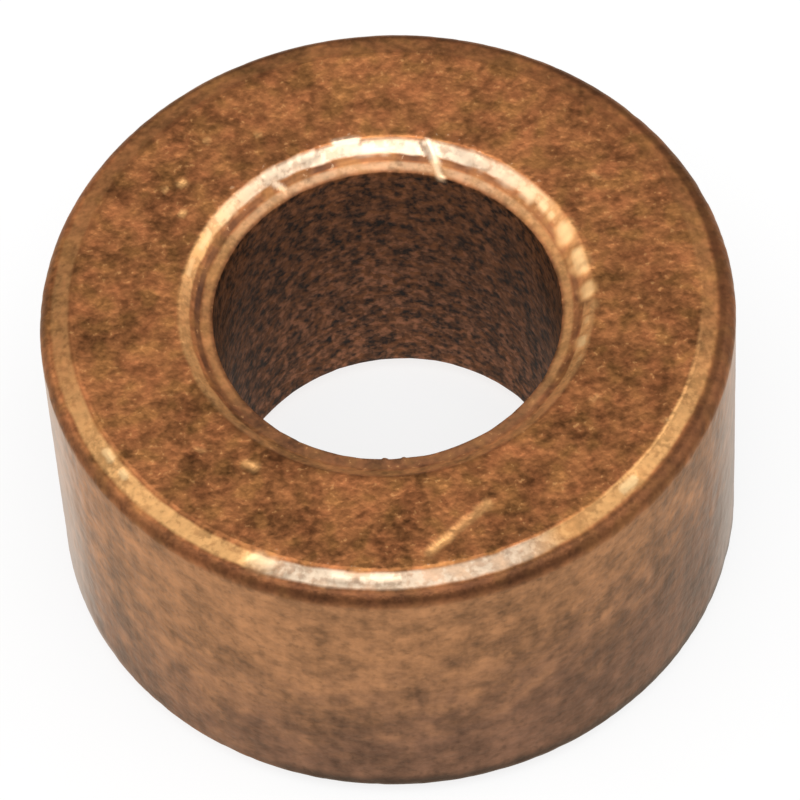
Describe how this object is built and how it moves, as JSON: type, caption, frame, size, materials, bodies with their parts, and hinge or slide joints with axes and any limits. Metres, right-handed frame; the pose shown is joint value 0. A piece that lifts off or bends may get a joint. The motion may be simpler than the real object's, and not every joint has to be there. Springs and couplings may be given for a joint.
{
  "type": "sintered bronze sleeve bushing",
  "caption": "Plain straight sleeve bushing of porous sintered bronze, self-lubricating, for a shaft turning in its bore; pressed into a housing by its outside.",
  "frame": {"origin": "centre of the lower end face, on the bore's axis", "axes": "+Z along the bore's axis, from the lower end face to the upper one; the part is turned about it, so X and Y are free"},
  "size_m": [0.0126, 0.0126, 0.0067],
  "materials": {
    "bronze": "satin"
  },
  "bodies": {
    "root": {"sleeve": "bronze"}
  },
  "joints": []
}
